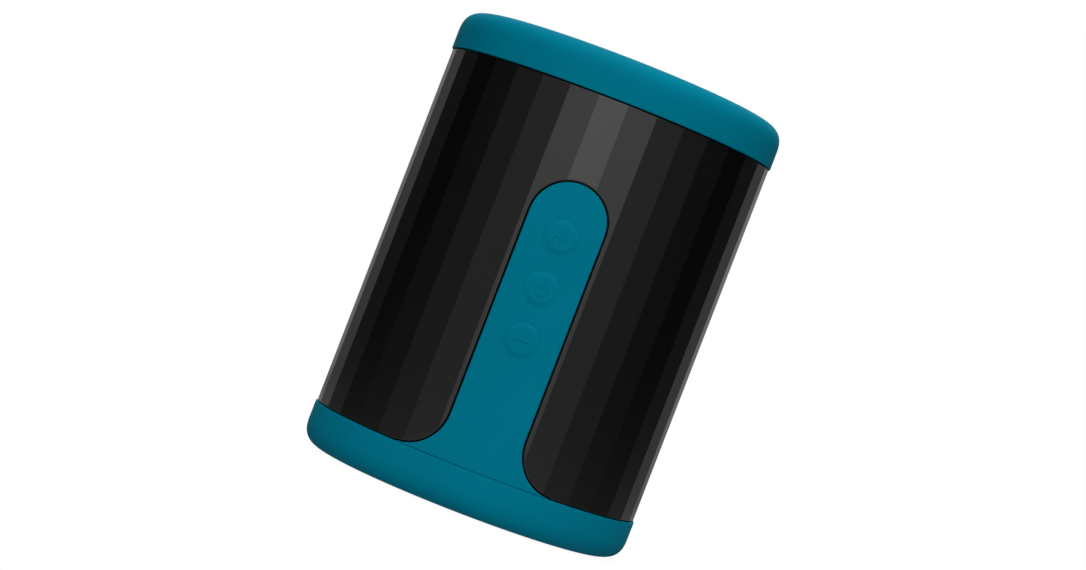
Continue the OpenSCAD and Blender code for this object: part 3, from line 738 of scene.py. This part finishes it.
# ---- Grille ----
# A disc of sheet steel punched with a close pattern of round holes and powder-coated
# dark grey. The coat is slightly rippled and rounds off the edge of each hole.
PUNCH_PITCH, PUNCH_R, PUNCH_SIDES = 3.2 * MM, 1 * MM, 16
FIELD_R = MOUTH_R - 2 * MM
COAT_ROUND, COAT_MIDWAY = 0.14 * MM, 0.04 * MM


def powder_coat():
    """Dark powder coat with an orange-peel ripple."""
    skin = Finish("powder_coat", (0.022, 0.023, 0.025), 0.42)
    speckle = skin.spread(skin.noise(1700, 2), 0.62, 0.74)
    peel = skin.bump(skin.noise(1100, 2), 0.00004)
    return skin.show(skin.mix(speckle, (0.020, 0.021, 0.023), (0.045, 0.046, 0.05)),
                     skin.spread(skin.noise(160, 3), 0.3, 0.7, 0.36, 0.5), peel)


def punched(x, y):
    """Border of one hole."""
    return lambda margin: arc(x, y, PUNCH_R + margin, 0, tau, PUNCH_SIDES)[:-1]


def disc_edge(margin):
    """Border of the disc."""
    return arc(0, 0, grille_r - margin, 0, tau, 128)[:-1]


grille_low, grille_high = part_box("top_grille")
grille_r = grille_high.x
rows = ceil(FIELD_R / PUNCH_PITCH / sin(pi / 3))
holes = []
for row in range(-rows, rows + 1):
    for column in range(-rows, rows + 1):
        x = (column + (row % 2) / 2) * PUNCH_PITCH
        y = row * PUNCH_PITCH * sin(pi / 3)
        if Vector((x, y)).length < FIELD_R - PUNCH_R:
            holes.append(punched(x, y))
grille = panel([disc_edge, *holes],
               [(COAT_ROUND, 0), (COAT_MIDWAY, COAT_MIDWAY), (0, COAT_ROUND),
                (0, grille_high.z - grille_low.z)])
for vert in grille.verts:
    x, depth, y = vert.co
    vert.co = (x, y, grille_high.z - depth)
settle("grille", shaded(closed(grille), 30), powder_coat(), "grille_paint", "housing",
       "top_grille")


# ---- Inner shell ----
# The moulded shell that carries everything: open bay below, sealed chamber above, the
# plate under the bay, and the ring and dust cloth that hold up the grille.
def dust_cloth():
    """Black woven screen cloth."""
    skin = Finish("dust_cloth", (0.006, 0.006, 0.007), 0.9, gloss=0.2)
    threads = skin.weave(0.3 * MM)
    return skin.show(skin.mix(threads, (0.002, 0.002, 0.002), (0.014, 0.014, 0.016)),
                     skin.spread(threads, 0, 1, 0.95, 0.75), skin.bump(threads, 0.00008))


dress(black_plastic, "chassis", "base_plate", "grille_frame")
dress(steel, "base_screws", "grille_frame_screws")
dress(dust_cloth(), "dust_mesh")


# ---- Driver ----
# One upward-firing full-range driver: pressed steel basket, ferrite magnet between steel
# plates, paper cone on a rubber roll, and a voice coil centred by a corrugated cloth.
COIL_UP = 5 * MM


def ferrite():
    """Sintered ferrite: dull, slightly pitted, with each pit painted darker as shade in its
    hollow.
    """
    skin = Finish("ferrite", (0.035, 0.034, 0.036), 0.7)
    pits_and_shade = skin.spread(skin.cells(1300), 0.0, 0.35)
    # Painted shade: the colour goes darker in each pit, where the relief is lowest.
    return skin.show(skin.mix(pits_and_shade, (0.02, 0.02, 0.02), (0.045, 0.044, 0.046)),
                     skin.spread(skin.noise(200), 0.3, 0.7, 0.6, 0.8),
                     skin.bump(pits_and_shade, 0.00004))


def brass():
    """Brass with a little brown tarnish."""
    skin = Finish("terminal_brass", (0.72, 0.48, 0.16), 0.3, metallic=1)
    tarnish = skin.spread(skin.noise(500, 4), 0.45, 0.75)
    return skin.show(skin.mix(tarnish, (0.75, 0.52, 0.20), (0.30, 0.17, 0.06)),
                     skin.spread(tarnish, 0, 1, 0.25, 0.5), skin.bump(tarnish, 0.00001))


def roll_rubber():
    """Butyl rubber with a faint bloom."""
    skin = Finish("roll_rubber", (0.012, 0.012, 0.013), 0.55)
    bloom = skin.spread(skin.noise(90, 4), 0.35, 0.7)
    return skin.show(skin.mix(bloom, (0.010, 0.010, 0.011), (0.022, 0.022, 0.023)),
                     skin.spread(bloom, 0, 1, 0.48, 0.66), skin.bump(skin.noise(2200), 0.00001))


def spider_cloth():
    """Resin-dipped cotton cloth."""
    skin = Finish("spider_cloth", (0.42, 0.25, 0.07), 0.75)
    threads = skin.weave(0.5 * MM)
    return skin.show(skin.mix(threads, (0.26, 0.14, 0.03), (0.55, 0.36, 0.13)),
                     skin.spread(threads, 0, 1, 0.85, 0.6), skin.bump(threads, 0.0001))


def cone_paper():
    """Black coated paper pulp with short crossing fibres."""
    skin = Finish("cone_paper", (0.018, 0.018, 0.019), 0.72)
    fibres = (skin.noise(900, 4, skin.stretched(1, 0.2, 1))
              + skin.noise(900, 4, skin.stretched(0.2, 1, 1)))
    pulp = skin.spread(fibres, 0.8, 1.3)
    return skin.show(skin.mix(pulp, (0.012, 0.012, 0.013), (0.035, 0.035, 0.037)),
                     skin.spread(fibres, 0.8, 1.3, 0.8, 0.62), skin.bump(fibres, 0.00004))


def voice_coil():
    """Copper wire wound low on a brown former, with painted shade darkening the copper in the
    grooves between the turns.
    """
    skin = Finish("coil_copper", (0.75, 0.33, 0.14), 0.3)
    wound = skin.along("Z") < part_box("voice_coil")[0].z + COIL_UP
    turns = skin.bands(0.25 * MM, "Z")
    # Painted shade: the copper goes dark brown in the grooves between turns, where the relief
    # dips.
    copper = skin.mix(turns, (0.35, 0.13, 0.05), (0.85, 0.42, 0.20))
    return skin.show(skin.mix(wound, (0.22, 0.09, 0.03), copper),
                     skin.spread(turns, 0, 1, 0.5, 0.28),
                     skin.bump(turns * wound, 0.0001), wound)


def foam():
    """Closed-cell foam, with the hollow of each cell painted darker as shade."""
    skin = Finish("black_foam", (0.02, 0.02, 0.022), 0.9, gloss=0.2)
    bubbles_and_shade = skin.cells(1500)
    # Painted shade: each cell goes darker towards its middle, where the relief dips.
    return skin.show(skin.mix(bubbles_and_shade, (0.012, 0.012, 0.013), (0.035, 0.035, 0.037)),
                     skin.spread(bubbles_and_shade, 0, 1, 0.95, 0.8), skin.bump(bubbles_and_shade, 0.00012))


dark_foam = foam()
rubber = roll_rubber()
dress(steel, "driver_basket", "driver_screws", "driver_top_plate", "driver_yoke")
dress(ferrite(), "driver_magnet")
dress(brass(), "driver_terminals")
dress(dark_foam, "driver_gasket")
dress(rubber, "driver_surround")
dress(spider_cloth(), "driver_spider")
dress(cone_paper(), "speaker_cone", "dust_cap")
dress(voice_coil(), "voice_coil")


# ---- Battery ----
# One lithium cell in blue shrink wrap with bare steel ends, lying across the bay on a
# moulded cradle and held down by two foam pads. Welded nickel tabs take its two leads.
def shrink_wrap():
    """Blue shrink film, a little rippled, that stops short of the steel ends."""
    skin = Finish("cell_wrap", (0.02, 0.12, 0.35), 0.28)
    ends = abs(skin.along("X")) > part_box("battery_cell")[1].x - 0.4 * MM
    ripple = skin.noise(260, 3, skin.stretched(0.4, 1, 1))
    film = skin.mix(skin.spread(ripple, 0.3, 0.7), (0.015, 0.10, 0.31), (0.03, 0.15, 0.40))
    return skin.show(skin.mix(ends, film, (0.6, 0.6, 0.58)),
                     skin.spread(ripple, 0.3, 0.7, 0.22, 0.34), skin.bump(ripple, 0.00005), ends)


dress(shrink_wrap(), "battery_cell")
dress(steel, "battery_tabs")
dress(black_plastic, "battery_cradle")
dress(dark_foam, "battery_pads")


# ---- Main board ----
# Charging, amplifier and radio on one green board that stands upright behind the cell,
# with a shielded radio module, two shielded coils, two capacitors and two sockets.
def can_metal():
    """Brushed aluminium can with a dark stripe down one side."""
    skin = Finish("can_aluminium", (0.75, 0.75, 0.76), 0.3)
    low, high = (corner.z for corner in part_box("board_capacitors"))
    stripe = skin.along("Z") < low + (high - low) * 0.28
    brushed = skin.noise(1400, 3, skin.stretched(1, 0.05, 1))
    return skin.show(skin.mix(stripe, (0.78, 0.78, 0.79), (0.03, 0.03, 0.035)),
                     skin.spread(brushed, 0.3, 0.7, 0.25, 0.4),
                     skin.bump(brushed, 0.00001), 1 - stripe)


dress(board_green, "main_board")
dress(steel, "board_screws", "bluetooth_module")
dress(moulded("chip_epoxy", 0.012, 0.6), "amplifier_chip")
dress(moulded("coil_ferrite", 0.05, 0.65), "power_inductors")
dress(can_metal(), "board_capacitors")


# ---- Charging port ----
# A steel socket in a recessed moulded panel with a small light guide beside it. A
# silicone flap plugs the recess: its foot is held in the sleeve, and it turns down on a
# thin web of its own rubber.
FLAP_ROUND, FLAP_EDGE, FOOT_EDGE = 2.75 * MM, 0.35 * MM, 0.25 * MM
FLAP_THICK = 1.5 * MM
PLUG_W, PLUG_H, PLUG_WALL, PLUG_IN = 12.4 * MM, 6.4 * MM, 0.8 * MM, 1.3 * MM
RIDGE_LONG, RIDGE_WIDE, RIDGE_UP, RIDGE_DEEP = 8 * MM, 0.9 * MM, 0.28 * MM, 0.6 * MM
RIDGE_ZS = (24.6 * MM, 23.2 * MM)
WEB_HALF, WEB_REACH, WEB_THICK, WEB_IN = 8.6 * MM, 0.55 * MM, 0.4 * MM, 0.35 * MM

flap_low, flap_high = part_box("port_flap")
foot_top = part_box("flap_anchor")[1].z
port_mid = (PORT_LOW_Z + PORT_HIGH_Z) / 2


def light_guide():
    """Frosted clear plastic."""
    skin = Finish("light_guide", (0.85, 0.88, 0.85), 0.35)
    skin.face["Transmission Weight"].default_value = 0.4
    frost = skin.noise(2500)
    return skin.show(skin.mix(frost, (0.80, 0.83, 0.80), (0.92, 0.94, 0.92)),
                     skin.spread(frost, 0.3, 0.7, 0.3, 0.45), skin.bump(frost, 0.00001))


def flap_border(margin):
    """Border of the part of the flap that turns, above the hinge."""
    radius = FLAP_ROUND - margin
    start = asin((flap_low.z + margin - PORT_LOW_Z) / radius)
    return behind(mirrored(arc(PORT_X, PORT_LOW_Z, radius, start, 0, 8)
                           + arc(PORT_X, PORT_HIGH_Z, radius, 0, pi / 2, 8)))


def foot_border(margin):
    """Border of the foot below the hinge."""
    radius = FLAP_ROUND - margin
    end = asin((foot_top - margin - PORT_LOW_Z) / radius)
    return behind(mirrored(arc(PORT_X, PORT_LOW_Z, radius, -pi / 2, end, 8)))


def rounded_box(width, height, radius):
    """Border of a rounded rectangle. A negative margin makes it grow."""
    def border(margin):
        x, z, bend = width / 2 - radius, height / 2 - radius, radius - margin
        return mirrored(arc(x, -z, bend, -pi / 2, 0, 6) + arc(x, z, bend, 0, pi / 2, 6))
    return border


def plug_lip():
    """The raised rim on the flap's inner face that fits into the recess."""
    inner = rounded_box(PLUG_W - 2 * PLUG_WALL, PLUG_H - 2 * PLUG_WALL, 1 * MM)
    lip = panel([rounded_box(PLUG_W, PLUG_H, 1.6 * MM), lambda margin: inner(-margin)],
                [*rounding(0.25 * MM, 4), (0, PLUG_IN)])
    for vert in lip.verts:
        vert.co += Vector((0, flap_low.y, port_mid))
    return shaded(closed(lip))


def grip_ridge(z):
    """A low ridge across the flap for a fingernail."""
    level = bar(RIDGE_LONG, RIDGE_WIDE)
    ridge = panel([lambda margin: behind(level(margin))],
                  [*rounding(RIDGE_UP, 4), (0, RIDGE_DEEP)])
    for vert in ridge.verts:
        vert.co.z += z
    cuts = [strip_r * (pi + radians(k)) for k in range(-6, 7)]
    return shaded(wrapped(ridge, cuts, on_round(flap_high.y + RIDGE_UP)), 40)


def back_skin(border, edge):
    """A thick skin on the round back of the body."""
    cuts = [strip_r * (pi + CUT_STEP * k) for k in range(-12, 13)]
    layer = panel([border], slab(edge, FLAP_THICK))
    return shaded(wrapped(layer, cuts, on_round(flap_high.y)), 25)


settle("flap", joined(back_skin(flap_border, FLAP_EDGE), plug_lip(),
                      *[grip_ridge(z) for z in RIDGE_ZS]),
       petrol, "teal_silicone", "flap", "port_flap")
settle("flap_foot", back_skin(foot_border, FOOT_EDGE), petrol, "teal_silicone", "housing",
       "flap_anchor")

hinge_z = (flap_low.z + foot_top) / 2
web = bmesh.new()
bmesh.ops.create_grid(web, x_segments=24, y_segments=12, size=1)
for vert in web.verts:
    angle, ray = vert.co.x * WEB_HALF / strip_r, flap_high.y - WEB_IN
    vert.co = (ray * sin(angle), ray * cos(angle), hinge_z + vert.co.y * WEB_REACH)
bmesh.ops.recalc_face_normals(web, faces=web.faces)
bmesh.ops.solidify(web, geom=web.faces, thickness=WEB_THICK)
bmesh.ops.recalc_face_normals(web, faces=web.faces)
hinge_web = settle("flap_web", shaded(web), petrol, "teal_silicone", None)
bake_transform(hinge_web)

dress(steel, "usb_socket")
dress(black_plastic, "port_panel")
dress(light_guide(), "charge_led")


# ---- Inner wiring ----
# Red leads from the cell and black leads from the driver, both in soft PVC, and the
# rubber bush that takes the driver's leads through the chamber floor.
def wire_cover(name, colour):
    """Soft PVC insulation, slightly glossy."""
    skin = Finish(name, colour, 0.38)
    scuff = skin.spread(skin.noise(400, 3), 0.35, 0.7)
    return skin.show(skin.mix(scuff, colour, [c * 1.5 + 0.005 for c in colour]),
                     skin.spread(scuff, 0, 1, 0.32, 0.5), skin.bump(skin.noise(1500), 0.00001))


dress(wire_cover("red_pvc", (0.42, 0.012, 0.01)), "battery_wires")
dress(wire_cover("black_pvc", (0.012, 0.012, 0.013)), "speaker_wires")
dress(rubber, "cable_grommet")
